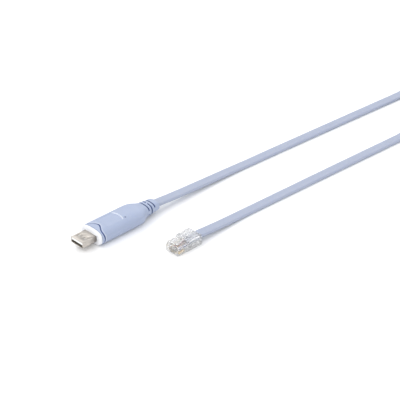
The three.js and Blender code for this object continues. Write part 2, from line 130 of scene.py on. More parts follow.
class Shader:
    """One material's node tree, with the few node kinds that these looks use."""

    def __init__(self, name):
        self.material = bpy.data.materials.new(name)
        self.material.use_nodes = True
        self.tree = self.material.node_tree
        self.principled = self.tree.nodes["Principled BSDF"]

    def node(self, kind, **values):
        node = self.tree.nodes.new(kind)
        for key, value in values.items():
            if key in node.inputs:
                node.inputs[key].default_value = value
            else:
                setattr(node, key, value)
        return node

    def link(self, source, target):
        self.tree.links.new(source, target)

    def set(self, **values):
        for key, value in values.items():
            self.principled.inputs[key.replace("_", " ")].default_value = value

    def coordinates(self, kind="Object", scale=(1, 1, 1)):
        source = self.node("ShaderNodeTexCoord")
        mapping = self.node("ShaderNodeMapping")
        mapping.inputs["Scale"].default_value = scale
        self.link(source.outputs[kind], mapping.inputs["Vector"])
        return mapping.outputs["Vector"]

    def noise(self, scale, detail=4.0, where=None, roughness=0.55):
        texture = self.node("ShaderNodeTexNoise", Scale=scale, Detail=detail, Roughness=roughness)
        self.link(where or self.coordinates(), texture.inputs["Vector"])
        return texture.outputs["Fac"]

    def range(self, value, low, high, start=0.3, stop=0.7):
        node = self.node("ShaderNodeMapRange")
        self.link(value, node.inputs["Value"])
        for key, number in (("From Min", start), ("From Max", stop), ("To Min", low), ("To Max", high)):
            node.inputs[key].default_value = number
        return node.outputs["Result"]

    def mix(self, factor, first, second):
        node = self.node("ShaderNodeMix", data_type="RGBA")
        self.link(factor, node.inputs[0])
        node.inputs[6].default_value = (*first, 1)
        node.inputs[7].default_value = (*second, 1)
        return node.outputs[2]

    def bump(self, height, distance, strength=1.0, onto=None):
        node = self.node("ShaderNodeBump", Distance=distance, Strength=strength)
        self.link(height, node.inputs["Height"])
        if onto is not None:
            self.link(onto, node.inputs["Normal"])
        self.link(node.outputs["Normal"], self.principled.inputs["Normal"])
        return node.outputs["Normal"]


def moulded_plastic(name, light, dark, roughness, grain=0.012, translucent=0.0):
    """Satin moulded plastic: cloudy colour, uneven gloss and a fine spark-eroded grain."""
    s = Shader(name)
    clouds = s.range(s.noise(90, 3), 0.0, 1.0)
    s.link(s.mix(clouds, light, dark), s.principled.inputs["Base Color"])
    s.link(s.range(s.noise(260, 5), roughness - 0.05, roughness + 0.07), s.principled.inputs["Roughness"])
    waves = s.bump(s.noise(140, 2), 0.02 * MM, 0.6)
    s.bump(s.noise(5200, 3), grain * MM, 0.5, onto=waves)
    s.set(IOR=1.5)
    if translucent:
        s.set(Subsurface_Weight=translucent, Subsurface_Radius=(0.6, 0.7, 1.0), Subsurface_Scale=2.0 * MM)
    return s.material


def housing_plastic(name, light, dark, shade_colour, highlight_colour, roughness):
    """The moulded plastic with painted shade (a dark blue) down in its grooves, slots and pockets and a
    painted highlight (a lighter blue) along the groove's rear lip and the panel's rear wall.
    """
    material = moulded_plastic(name, light, dark, roughness, translucent=0.1)
    tree = material.node_tree
    principled = tree.nodes["Principled BSDF"]
    shade = principled.inputs["Base Color"].links[0].from_socket
    # Painted light: the first mask mixes in a painted highlight colour, the second a dark painted shade
    # colour.
    for layer, colour in (("painted_highlight", highlight_colour), ("painted_shade", shade_colour)):
        amount = tree.nodes.new("ShaderNodeAttribute")
        amount.attribute_name = layer
        blend = tree.nodes.new("ShaderNodeMix")
        blend.data_type = "RGBA"
        tree.links.new(amount.outputs["Fac"], blend.inputs[0])
        tree.links.new(shade, blend.inputs[6])
        blend.inputs[7].default_value = (*colour, 1)
        shade = blend.outputs[2]
    tree.links.new(shade, principled.inputs["Base Color"])
    return material


def cord_jacket(name, light, dark):
    """Extruded jacket: long faint draw lines, a soft sheen and slight colour drift along the cord."""
    s = Shader(name)
    lines = s.noise(1.0, 3, s.coordinates("UV", (2.0, 60.0, 1.0)))
    drift = s.noise(1.0, 4, s.coordinates("UV", (60.0, 3.0, 1.0)))
    both = s.node("ShaderNodeMath", operation="ADD")
    s.link(s.range(lines, 0.0, 0.5), both.inputs[0])
    s.link(s.range(drift, 0.0, 0.5), both.inputs[1])
    s.link(s.mix(both.outputs[0], light, dark), s.principled.inputs["Base Color"])
    s.link(s.range(s.noise(500, 4), 0.40, 0.52), s.principled.inputs["Roughness"])
    drawn = s.bump(lines, 0.05 * MM, 0.5)
    s.bump(s.noise(3800, 3), 0.01 * MM, 0.5, onto=drawn)
    s.set(IOR=1.5, Subsurface_Weight=0.15, Subsurface_Radius=(0.6, 0.7, 1.0), Subsurface_Scale=1.0 * MM)
    return s.material


def plated_steel(name, colour, roughness):
    """Rolled and plated sheet: lengthwise brushing, fine scuffs and slightly uneven plating."""
    s = Shader(name)
    brushed = s.noise(1.0, 5, s.coordinates("Object", (500, 9000, 9000)))
    cloud = s.noise(320, 4)
    dull = tuple(0.82 * c for c in colour)
    s.link(s.mix(s.range(cloud, 0.0, 1.0), colour, dull), s.principled.inputs["Base Color"])
    s.link(s.range(brushed, roughness - 0.07, roughness + 0.09), s.principled.inputs["Roughness"])
    s.bump(brushed, 0.006 * MM, 0.5)
    s.set(Metallic=1.0)
    return s.material


def clear_plastic(name):
    """Clear moulded polycarbonate with faint flow ripples and fine scuffs."""
    s = Shader(name)
    s.link(s.mix(s.range(s.noise(200, 3), 0.0, 1.0), (1.0, 1.0, 1.0), (0.985, 0.99, 0.995)),
           s.principled.inputs["Base Color"])
    s.link(s.range(s.noise(900, 5), 0.0, 0.05), s.principled.inputs["Roughness"])
    s.bump(s.noise(420, 2), 0.012 * MM, 0.5)
    s.set(Transmission_Weight=0.8, IOR=1.38, Alpha=0.68)
    return s.material


def wire_insulation(name, colour):
    """Glossy thin insulation, a little uneven along the wire."""
    s = Shader(name)
    dark = tuple(0.7 * c for c in colour)
    s.link(s.mix(s.range(s.noise(1100, 3), 0.0, 1.0), colour, dark), s.principled.inputs["Base Color"])
    s.link(s.range(s.noise(1800, 3), 0.26, 0.38), s.principled.inputs["Roughness"])
    s.bump(s.noise(1500, 2), 0.01 * MM, 0.5)
    return s.material


def table_top(name):
    """White, very slightly glossy table."""
    s = Shader(name)
    s.link(s.mix(s.range(s.noise(14, 3), 0.0, 1.0), (0.97, 0.97, 0.97), (0.96, 0.96, 0.96)),
           s.principled.inputs["Base Color"])
    s.link(s.range(s.noise(40, 4), 0.10, 0.14), s.principled.inputs["Roughness"])
    s.set(IOR=1.7)
    return s.material


# Mesh helpers


def add_piece(name, mesh, material, body=BODY, smooth=True):
    piece = bpy.data.objects.new(name, mesh)
    bpy.context.collection.objects.link(piece)
    mesh.materials.clear()
    mesh.materials.append(material)
    for face in mesh.polygons:
        face.use_smooth = smooth
    if body:
        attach(piece, body)
    return piece


def finished(mesh, name):
    """Turns the faces out and gives the mesh as Blender data."""
    bmesh.ops.recalc_face_normals(mesh, faces=mesh.faces)
    data = bpy.data.meshes.new(name)
    mesh.to_mesh(data)
    mesh.free()
    return data


def looped_mesh(name, rings):
    """Skin through rings of points whose last ring joins the first."""
    mesh = bmesh.new()
    rows = [[mesh.verts.new(p) for p in ring] for ring in rings]
    rows.append(rows[0])
    sides = len(rows[0])
    for first, second in zip(rows, rows[1:]):
        for j in range(sides):
            k = (j + 1) % sides
            mesh.faces.new((first[j], first[k], second[k], second[j]))
    return finished(mesh, name)


def tube_mesh(name, rings):
    """Closed tube through rings of points, with UVs in metres along and 0 to 1 across."""
    mesh = bmesh.new()
    rows = [[mesh.verts.new(p) for p in ring] for ring in rings]
    uv = mesh.loops.layers.uv.new("UVMap")
    along = [0.0]
    for first, second in zip(rings, rings[1:]):
        along.append(along[-1] + (Vector(second[0]) - Vector(first[0])).length)
    sides = len(rings[0])
    for i in range(len(rings) - 1):
        for j in range(sides):
            k = (j + 1) % sides
            face = mesh.faces.new((rows[i][j], rows[i][k], rows[i + 1][k], rows[i + 1][j]))
            corners = ((i, j), (i, j + 1), (i + 1, j + 1), (i + 1, j))
            for loop, (row, column) in zip(face.loops, corners):
                loop[uv].uv = (along[row], column / sides)
    mesh.faces.new(list(reversed(rows[0])))
    mesh.faces.new(rows[-1])
    return finished(mesh, name)


# Cord

CORD_WIDTH = 8.0 * MM
CORD_THICKNESS = 2.4 * MM
COIL_X = (coil_low[0] + coil_high[0]) / 2
COIL_Y = (coil_low[1] + coil_high[1]) / 2
EDGE_Z = (coil_low[2] + coil_high[2]) / 2
TURN_PITCH = 2.9 * MM
FIRST_TURN = 34.0 * MM

# The free cord's route, as in the part's source: x, y, z in millimetres from the USB plug's front, then its
# turn in degrees from lying flat
USB_STRAND = [
    (69.6, 0, 5.5, 0),
    (76, -0.1, 5.3, 0),
    (84, -0.3, 4.8, 0),
    (98, -0.3, 4.0, 0),
    (114, -0.1, 3.1, 0),
    (130, 0, 2.3, 0),
    (146, -0.1, 1.65, 0),
    (162, -0.7, 1.25, 0),
    (180, -1.5, 1.25, 0),
    (220, -3.6, 1.25, 0),
    (260, -5.8, 1.25, 0),
    (300, -8.0, 1.25, 0),
    (322, -9.2, 1.25, 0),
    (330, -9.2, 1.4, 3),
    (338, -8.5, 2.0, 14),
    (345, -7.2, 3.1, 38),
    (350.5, -6.0, 4.2, 64),
    (355.7, -4.8, 4.9, 88),
]
PLUG_STRAND = [
    (63.7, -47, 4.4, 0),
    (72, -47.1, 3.8, 0),
    (84, -47.0, 2.9, 0),
    (96, -46.7, 2.1, 0),
    (108, -46.5, 1.5, 0),
    (120, -46.8, 1.25, 0),
    (150, -48.0, 1.25, 0),
    (190, -49.6, 1.25, 0),
    (230, -51.35, 1.25, 0),
    (264, -52.9, 1.25, 0),
    (272, -53.3, 1.35, 3),
    (280.9, -53.7, 1.9, 12),
    (291.9, -53.1, 3.0, 34),
    (303.1, -50.5, 3.9, 54),
    (313.1, -45.9, 4.6, 74),
    (322.1, -39.7, 4.9, 86),
    (329.5, -33.4, 4.9, 90),
    (336.9, -27.1, 4.9, 90),
]
USB_TURNS = 853
PLUG_TURNS = 700
INNER_ANGLE = -30


def in_frame(point):
    x, y, z, turn = point
    return Vector((USB_X + x * MM, USB_Y + y * MM, z * MM)), turn


def smooth_route(points, step=2.0 * MM):
    """Catmull-Rom through the points, with the turn carried along."""
    route = []
    ends = [points[0]] + points + [points[-1]]
    for i in range(1, len(ends) - 2):
        (p0, _), (p1, a), (p2, b), (p3, _) = ends[i - 1:i + 3]
        count = max(2, round((p2 - p1).length / step))
        for k in range(count):
            t = k / count
            where = 0.5 * (
                2 * p1 + (p2 - p0) * t
                + (2 * p0 - 5 * p1 + 4 * p2 - p3) * t * t
                + (3 * p1 - p0 - 3 * p2 + p3) * t ** 3
            )
            where.z = max(where.z, min(p1.z, p2.z))
            route.append((where, a + (b - a) * (t * t * (3 - 2 * t))))
    route.append(points[-1])
    return route


def on_coil(radius, degrees):
    angle = math.radians(degrees)
    return Vector((COIL_X + radius * math.cos(angle), COIL_Y + radius * math.sin(angle), EDGE_Z))


def coil_arm(start_angle, total):
    """One of the coil's two strands, from its inner end outwards, counterclockwise."""
    count = round(total / 3)
    arm = []
    for i in range(count + 1):
        turned = total * i / count
        arm.append(on_coil(FIRST_TURN + 2 * TURN_PITCH * turned / 360, start_angle + turned))
    return arm


def coil_middle():
    """The S that joins the two strands' inner ends across the bore."""
    points = []
    for i in range(1, 60):
        along = 1 - i / 30
        angle = math.pi * (1 - abs(along))
        side = math.copysign(1, along)
        x = side * (FIRST_TURN / 2) * (1 + math.cos(angle))
        y = -side * (FIRST_TURN / 2) * math.sin(angle)
        spun = Matrix.Rotation(math.radians(INNER_ANGLE), 2) @ Vector((x, y))
        points.append(Vector((COIL_X + spun.x, COIL_Y + spun.y, EDGE_Z)))
    return points


def cord_route():
    usb_side = [in_frame(p) for p in USB_STRAND]
    usb_arm = coil_arm(INNER_ANGLE, USB_TURNS)
    plug_arm = coil_arm(INNER_ANGLE - 180, PLUG_TURNS)
    plug_side = [(p, 180 - turn) for p, turn in map(in_frame, PLUG_STRAND)]
    leaving = [(usb_arm[-1], 90)]
    arriving = [(plug_arm[-1], 90)]
    wound = [*reversed(usb_arm[:-1]), *coil_middle(), *plug_arm[:-1]]
    return [
        *smooth_route(usb_side + leaving),
        *((p, 90) for p in wound),
        *smooth_route(arriving + list(reversed(plug_side))),
    ]


def flat_section(across, thick, steps=7):
    """Half-round edges joined by flat faces, as (across, up) pairs."""
    radius = thick / 2
    points = []
    for end in (1, -1):
        for k in range(steps):
            angle = -math.pi / 2 + math.pi * k / (steps - 1)
            out = across / 2 - radius + radius * math.cos(angle)
            points.append((end * out, end * radius * math.sin(angle)))
        for k in range(1, 6):
            points.append((end * (across / 2 - radius) * (1 - k / 3), end * radius))
    return points


def flat_rings(route, across=CORD_WIDTH, thick=CORD_THICKNESS):
    section = flat_section(across, thick)
    rings = []
    for i, (where, turn) in enumerate(route):
        tangent = (route[min(i + 1, len(route) - 1)][0] - route[max(i - 1, 0)][0]).normalized()
        level = Vector((-tangent.y, tangent.x, 0)).normalized()
        side = Matrix.Rotation(math.radians(turn), 3, tangent) @ level
        face = tangent.cross(side)
        rings.append([where + side * a + face * b for a, b in section])
    return rings


def add_cord(jacket):
    route = cord_route()
    cord = add_piece("flat_cord", tube_mesh("flat_cord", flat_rings(route)), jacket)
    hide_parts("cord_usb_side", "cord_plug_side", "cord_coil", "cord_coil_middle")


def add_cord_end(jacket):
    low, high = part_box("cord_end_in_plug")
    middle = (low[2] + high[2]) / 2
    stations = (low[0], (low[0] + high[0]) / 2, high[0] - 0.2 * MM)
    route = [(Vector((x, PLUG_Y, middle)), 0) for x in stations]
    end = add_piece("cord_end", tube_mesh("cord_end", flat_rings(route)), jacket)
    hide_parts("cord_end_in_plug")


def rounded_rectangle(half_wide, half_high, radius, steps):
    points = []
    for quarter, (sy, sz) in enumerate(((1, 1), (-1, 1), (-1, -1), (1, -1))):
        for k in range(steps + 1):
            angle = (quarter + k / steps) * math.pi / 2
            points.append((sy * (half_wide - radius) + radius * math.cos(angle),
                           sz * (half_high - radius) + radius * math.sin(angle)))
    return points


def add_tie(material):
    """A soft strap round the turns, thinned along its two edges."""
    low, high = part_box("coil_tie")
    centre = Vector(((low[0] + high[0]) / 2, (low[1] + high[1]) / 2, (low[2] + high[2]) / 2))
    half = (high[0] - low[0]) / 2, (high[2] - low[2]) / 2
    wide = high[1] - low[1]
    thick = 0.42 * MM
    outer = rounded_rectangle(half[0], half[1], 1.1 * MM, 6)
    inner = rounded_rectangle(half[0] - thick, half[1] - thick, 0.8 * MM, 6)
    rings = []
    for (ox, oz), (ix, iz) in zip(outer, inner):
        row = []
        for y, pull in ((-0.5, 0.12), (-0.46, 0), (0.46, 0), (0.5, 0.12)):
            row.append(centre + Vector((ox + (ix - ox) * pull, y * wide, oz + (iz - oz) * pull)))
        row.append(centre + Vector((ix, 0.5 * wide, iz)))
        row.append(centre + Vector((ix, -0.5 * wide, iz)))
        rings.append(row)
    strap = add_piece("tie_strap", looped_mesh("tie_strap", rings), material)
    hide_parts("coil_tie")
    return strap


# Blue housing, as one smooth skin with its groove, panel and tail slots pressed into it

HALF_WIDTH = (housing_high[1] - housing_low[1]) / 2 / MM
HALF_HEIGHT = (housing_high[2] - housing_low[2]) / 2 / MM
HOUSING_X = (housing_low[0] - USB_X) / MM
TAIL_END = (housing_high[0] - USB_X) / MM
SECTION_POWER = 3
POCKET_POWER = 4
SEAM_TOP = (17.5, 1.75)
SEAM_SIDE = (16.05, 0.3)
SEAM_DEPTH = 0.8
PANEL_FRONT = 22.0
PANEL_REAR = 37.2
PANEL_REAR_CURVE = 0.045
PANEL_HALF_WIDTH = 5.7
PANEL_DEPTH = 0.55
LIGHT_X = 38.5
LIGHT_Y = -5.0
LIGHT_RADIUS = 0.55
LIGHT_FLARE = 1.15
LIGHT_REACH = 1.5
SLOT_X = (59.3, 62.2, 65.1)
SLOT_CORE = (4.6, 2.2)
SIDE_BRIDGE = 1.4
TOP_BRIDGE = 0.7
PROFILE = [
    (HOUSING_X, HALF_WIDTH - 0.35, HALF_HEIGHT - 0.28),
    (HOUSING_X + 0.25, HALF_WIDTH - 0.1, HALF_HEIGHT - 0.08),
    (HOUSING_X + 0.8, HALF_WIDTH, HALF_HEIGHT),
    (30.0, HALF_WIDTH, HALF_HEIGHT),
    (46.0, HALF_WIDTH, HALF_HEIGHT),
    (48.5, HALF_WIDTH - 0.1, HALF_HEIGHT),
    (50.5, HALF_WIDTH - 0.35, HALF_HEIGHT - 0.06),
    (52.2, HALF_WIDTH - 0.85, HALF_HEIGHT - 0.16),
    (53.7, HALF_WIDTH - 1.6, HALF_HEIGHT - 0.34),
    (55.0, HALF_WIDTH - 2.45, HALF_HEIGHT - 0.6),
    (56.2, HALF_WIDTH - 3.15, HALF_HEIGHT - 0.9),
    (57.4, 6.5, 4.35),
    (58.6, 6.2, 4.15),
    (63.0, 5.75, 3.8),
    (68.6, 5.2, 3.35),
    (69.4, 5.0, 3.15),
    (69.8, 4.75, 2.9),
    (TAIL_END, 4.5, 2.65),
]


def step(value, low, high):
    t = min(1.0, max(0.0, (value - low) / (high - low)))
    return t * t * (3 - 2 * t)


def profile_at(x):
    """Half width and half height at x, eased between the stations by a monotone cubic."""
    for i in range(len(PROFILE) - 1):
        x0, x1 = PROFILE[i][0], PROFILE[i + 1][0]
        if x <= x1 or i == len(PROFILE) - 2:
            t = min(1.0, max(0.0, (x - x0) / (x1 - x0)))
            sizes = []
            for axis in (1, 2):
                slopes = []
                for j in (i, i + 1):
                    before, after = PROFILE[max(j - 1, 0)], PROFILE[min(j + 1, len(PROFILE) - 1)]
                    here = PROFILE[j]
                    left = (here[axis] - before[axis]) / max(here[0] - before[0], 1e-6)
                    right = (after[axis] - here[axis]) / max(after[0] - here[0], 1e-6)
                    slopes.append(0.0 if left * right <= 0 else 2 * left * right / (left + right))
                a, b = PROFILE[i][axis], PROFILE[i + 1][axis]
                run = x1 - x0
                sizes.append(
                    (2 * t ** 3 - 3 * t * t + 1) * a + (t ** 3 - 2 * t * t + t) * run * slopes[0]
                    + (3 * t * t - 2 * t ** 3) * b + (t ** 3 - t * t) * run * slopes[1]
                )
            return sizes


def seam_at(across, up):
    """Where the wavy groove lies along the housing, for a place given in half widths and half heights."""
    across, up = abs(across), abs(up)
    middle, wave = SEAM_TOP if up > across else SEAM_SIDE
    return middle + wave * math.cos(math.pi * min(across, up) / 0.5 ** (1 / SECTION_POWER))


def oval_reach(angle, half_wide, half_high, power):
    """How far a rounded section reaches from its middle in this direction."""
    across = abs(math.cos(angle) / half_wide) ** power
    up = abs(math.sin(angle) / half_high) ** power
    return (across + up) ** (-1 / power)


def housing_angles():
    """Directions round the housing, closer together at the two sides of the panel pressed into the top."""
    count = 168
    angles = [2 * math.pi * j / count for j in range(count)]
    across = PANEL_HALF_WIDTH / HALF_WIDTH
    rise = (1 - across ** SECTION_POWER) ** (1 / SECTION_POWER)
    edge = math.atan2(HALF_HEIGHT * rise, PANEL_HALF_WIDTH)
    near = [edge + 0.0061 * k for k in range(-7, 8)]
    kept = [a for a in angles if min(abs(a - edge), abs(a - math.pi + edge)) > 0.055]
    return sorted(kept + near + [math.pi - a for a in near])


def housing_point(x, angle):
    """A point of the skin, in millimetres from the USB plug's front and axis."""
    wide, high = profile_at(x)
    c, s = math.cos(angle), math.sin(angle)
    radius = oval_reach(angle, wide, high, SECTION_POWER)
    y, z = radius * c, radius * s
    seam = seam_at(y / wide, z / high)
    radius -= SEAM_DEPTH * (1 - step(abs(x - seam), 0.25, 0.65))
    for i, slot in enumerate(SLOT_X):
        cut = 1 - step(abs(x - slot), 0.42, 0.58)
        if i == 1:
            cut *= step(abs(y), TOP_BRIDGE - 0.1, TOP_BRIDGE + 0.25)
        else:
            cut *= step(abs(z), SIDE_BRIDGE - 0.2, SIDE_BRIDGE + 0.2)
        radius += cut * (oval_reach(angle, *SLOT_CORE, SECTION_POWER) - radius)
    y, z = radius * c, radius * s
    rear = PANEL_REAR - PANEL_REAR_CURVE * y * y
    inside = step(x, PANEL_FRONT - 0.05, PANEL_FRONT + 0.4) * (1 - step(x, rear - 0.3, rear + 0.05))
    inside *= 1 - step(abs(y), PANEL_HALF_WIDTH - 0.25, PANEL_HALF_WIDTH + 0.05)
    z += inside * (min(z, HALF_HEIGHT - PANEL_DEPTH) - z)
    return y, z


def housing_rows():
    """Stations along the housing, close together where its shape changes fast."""
    spans = [
        (HOUSING_X, 15.0, 0.12), (15.0, 20.0, 0.08), (20.0, 21.8, 0.3), (21.8, 22.5, 0.07),
        (22.5, 35.4, 0.8), (35.4, 37.4, 0.07), (37.4, 46.0, 0.8), (46.0, 58.5, 0.35),
        (58.5, 60.1, 0.06), (60.1, 61.4, 0.4), (61.4, 63.0, 0.06), (63.0, 64.3, 0.4),
        (64.3, 65.9, 0.06), (65.9, 69.0, 0.4), (69.0, TAIL_END, 0.1),
    ]
    rows = []
    for low, high, gap in spans:
        count = round((high - low) / gap)
        rows += [low + (high - low) * i / count for i in range(count)]
    return rows + [TAIL_END]


def add_housing(material):
    angles = housing_angles()

    def at(x, y, z):
        return Vector((USB_X + x * MM, USB_Y + y * MM, AXIS_Z + z * MM))

    def oval(x, scale):
        ring = []
        for angle in angles:
            y, z = housing_point(x, angle)
            ring.append(at(x, y * scale, z * scale))
        return ring

    def pocket(x, wide, high):
        ring = []
        for angle in angles:
            radius = oval_reach(angle, wide, high, POCKET_POWER)
            ring.append(at(x, radius * math.cos(angle), radius * math.sin(angle)))
        return ring

    rings = [pocket(HOUSING_X + 1.6, 7.4, 4.0), pocket(HOUSING_X, 7.6, 4.2)]
    rings += [oval(HOUSING_X, scale) for scale in (0.9, 0.985)]
    rings += [oval(x, 1.0) for x in housing_rows()]
    rings += [oval(TAIL_END, 0.97), pocket(TAIL_END, 4.15, 1.45), pocket(TAIL_END - 1.2, 4.1, 1.4)]
    skin = add_piece("housing_skin", tube_mesh("housing_skin", rings), material)
    drill = bpy.data.meshes.new("light_hole")
    cutter = bmesh.new()
    bmesh.ops.create_cone(
        cutter, cap_ends=True, segments=32,
        radius1=LIGHT_RADIUS * MM, radius2=LIGHT_RADIUS * LIGHT_FLARE * MM, depth=2 * LIGHT_REACH * MM,
        matrix=Matrix.Translation(at(LIGHT_X, LIGHT_Y, HALF_HEIGHT + 0.1)),
    )
    cutter.to_mesh(drill)
    cutter.free()
    cut_away(skin, bpy.data.objects.new("light_hole", drill))
    # Masks for the painted shade in the grooves, slots and pockets and the painted highlight along the
    # groove's rear lip and the panel's rear wall.
    mark_painted_light(skin)
    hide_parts("housing")


def mark_painted_light(skin):
    """Writes painted shade, stronger the deeper each point lies under the plain section and along the
    panel's front edge, and painted highlight along the groove's rear lip and the panel's rear wall, for the
    material.
    """
    shade_values = skin.data.attributes.new("painted_shade", "FLOAT", "POINT").data
    highlight_values = skin.data.attributes.new("painted_highlight", "FLOAT", "POINT").data
    for vert, depth, painted_highlight in zip(skin.data.vertices, shade_values, highlight_values):
        x = (vert.co.x - USB_X) / MM
        y = (vert.co.y - USB_Y) / MM
        z = (vert.co.z - AXIS_Z) / MM
        wide, high = profile_at(x)
        size = (abs(y / wide) ** SECTION_POWER + abs(z / high) ** SECTION_POWER) ** (1 / SECTION_POWER)
        along_panel = PANEL_FRONT - 0.1 < x < PANEL_REAR + 0.1
        in_panel = z > 0 and abs(y) < PANEL_HALF_WIDTH + 0.1 and along_panel
        # Painted shade: stronger the deeper the point lies under the plain section; none on the panel's
        # floor.
        depth.value = 0.0 if in_panel else step((1 - size) * min(wide, high + 1.5), 0.08, 0.5)
        past_seam = x - seam_at(y / wide, z / high)
        # Painted highlight in a band just behind the groove.
        painted_highlight.value = 0.7 * step(past_seam, 0.45, 0.6) * (1 - step(past_seam, 0.85, 1.2))
        if in_panel:
            # On the panel: painted highlight along its rear wall and painted shade along its front edge.
            behind = x - (PANEL_REAR - PANEL_REAR_CURVE * y * y)
            painted_highlight.value = step(behind, -0.4, -0.25) * (1 - step(behind, 0.2, 0.4))
            depth.value = 0.45 * (1 - step(abs(x - PANEL_FRONT - 0.1), 0.05, 0.3))


def cut_away(piece, cutter):
    """Cuts one mesh out of another and drops the cutter."""
    bpy.context.collection.objects.link(cutter)
    modifier = piece.modifiers.new("cut", "BOOLEAN")
    modifier.operation = "DIFFERENCE"
    modifier.solver = "EXACT"
    modifier.object = cutter
    apply_modifiers(piece)
    bpy.data.objects.remove(cutter)


def apply_modifiers(piece):
    shaped = bpy.data.meshes.new_from_object(piece.evaluated_get(bpy.context.evaluated_depsgraph_get()))
    piece.modifiers.clear()
    piece.data = shaped


# USB plug's shell, tongue and white collar

SHELL_HALF = ((shell_high[1] - shell_low[1]) / 2, (shell_high[2] - shell_low[2]) / 2)
SHELL_LENGTH = shell_high[0] - shell_low[0]
SHEET = 0.3 * MM
SHELL_CORNER = 0.7 * MM
WINDOW_X = 5.2 * MM
WINDOW_Y = 2.9 * MM
WINDOW_SIZE = (2.2 * MM, 2.4 * MM)


def add_box(mesh, low, high):
    for vert in bmesh.ops.create_cube(mesh, size=1.0)["verts"]:
        vert.co = Vector([low[i] + (vert.co[i] + 0.5) * (high[i] - low[i]) for i in range(3)])


def box_mesh(name, low, high, bevel=0.0):
    mesh = bmesh.new()
    add_box(mesh, low, high)
    if bevel:
        bmesh.ops.bevel(mesh, geom=mesh.edges[:], offset=bevel, segments=2, affect="EDGES", profile=0.5)
    data = bpy.data.meshes.new(name)
    mesh.to_mesh(data)
    mesh.free()
    return data


def bevel_edges(piece, width):
    modifier = piece.modifiers.new("soft_edges", "BEVEL")
    modifier.width = width
    modifier.segments = 3
    modifier.limit_method = "ANGLE"
    modifier.angle_limit = math.radians(20)
    modifier.harden_normals = True
    apply_modifiers(piece)


def add_shell(material):
    """Folded sheet: rounded corners, rolled mouth, two spring windows a side and a joint underneath."""
    centre = Vector((USB_X, USB_Y, AXIS_Z))

    def ring(x, inset, corner):
        points = rounded_rectangle(SHELL_HALF[0] - inset, SHELL_HALF[1] - inset, corner, 8)
        return [centre + Vector((x, y, z)) for y, z in points]

    stations = [
        (SHELL_LENGTH, SHEET, SHELL_CORNER - SHEET),
        (0.25 * MM, SHEET, SHELL_CORNER - SHEET),
        (0.04 * MM, SHEET * 0.8, SHELL_CORNER - SHEET * 0.8),
        (0.0, SHEET * 0.55, SHELL_CORNER - SHEET * 0.55),
        (0.04 * MM, SHEET * 0.22, SHELL_CORNER - SHEET * 0.22),
        (0.14 * MM, 0.0, SHELL_CORNER),
        (SHELL_LENGTH, 0.0, SHELL_CORNER),
    ]
    rings = [ring(*station) for station in stations]
    shell = add_piece("usb_shell_sheet", looped_mesh("usb_shell_sheet", rings), material)
    for side in (-1, 1):
        for height in (-1, 1):
            middle = centre + Vector((WINDOW_X, side * WINDOW_Y, height * SHELL_HALF[1]))
            reach = Vector((WINDOW_SIZE[0] / 2, WINDOW_SIZE[1] / 2, 0.8 * MM))
            window = box_mesh("window", middle - reach, middle + reach, 0.25 * MM)
            cut_away(shell, bpy.data.objects.new("window", window))
    add_leaves(shell, centre)
    joint_low = centre + Vector((-0.5 * MM, -0.04 * MM, -SHELL_HALF[1] - 0.2 * MM))
    joint_high = centre + Vector((SHELL_LENGTH - 1.0 * MM, 0.04 * MM, -SHELL_HALF[1] + 0.16 * MM))
    joint = box_mesh("joint", joint_low, joint_high)
    cut_away(shell, bpy.data.objects.new("joint", joint))
    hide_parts("usb_shell")
    return shell


def add_leaves(shell, centre):
    """Spring leaf in each window, joined at the rear and a little below the sheet's face."""
    mesh = bmesh.new()
    mesh.from_mesh(shell.data)
    half_long, half_wide = WINDOW_SIZE[0] / 2, WINDOW_SIZE[1] / 2
    for side in (-1, 1):
        for height in (-1, 1):
            low = Vector((WINDOW_X - half_long + 0.8 * MM, side * WINDOW_Y - half_wide + 0.6 * MM, 0))
            high = Vector((WINDOW_X + half_long + 0.1 * MM, side * WINDOW_Y + half_wide - 0.2 * MM, 0))
            low.z, high.z = sorted(height * (SHELL_HALF[1] - depth * MM) for depth in (0.1, 0.28))
            add_box(mesh, centre + low, centre + high)
    mesh.to_mesh(shell.data)
    mesh.free()


def add_collar(material):
    """White ring round the root of the shell, with a rounded front edge."""
    gap = 0.04 * MM
    low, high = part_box("white_collar")
    start = (low[0] - USB_X) / MM
    end = (high[0] - USB_X) / MM
    columns = 96
    stations = [
        (start, 1.05), (start + 0.03, 0.8), (start + 0.12, 0.6), (start + 0.3, 0.42), (start + 0.55, 0.3),
        (start + 0.95, 0.24), (end - 0.1, 0.2), (end, 0.28),
    ]
    hole = rounded_rectangle(SHELL_HALF[0] + gap, SHELL_HALF[1] + gap, SHELL_CORNER + gap, 23)

    angles = [2 * math.pi * (j + 0.5) / columns for j in range(columns)]

    def outer(x, inset):
        ring = []
        for angle in angles:
            wide, high = HALF_WIDTH - inset, HALF_HEIGHT - 0.75 * inset
            radius = oval_reach(angle, wide, high, SECTION_POWER) * MM
            y, z = radius * math.cos(angle), radius * math.sin(angle)
            ring.append(Vector((USB_X + x * MM, USB_Y + y, AXIS_Z + z)))
        return ring

    def inner(x):
        ring = []
        for angle in angles:
            def turn_to(point):
                return abs(math.remainder(math.atan2(point[1], point[0]) - angle, 2 * math.pi))

            y, z = min(hole, key=turn_to)
            ring.append(Vector((USB_X + x * MM, USB_Y + y, AXIS_Z + z)))
        return ring

    rings = [outer(x, inset) for x, inset in stations] + [inner(end), inner(start)]
    collar = add_piece("collar_ring", looped_mesh("collar_ring", rings), material)
    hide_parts("white_collar")


# Clear 8-way plug, along +X from its front face

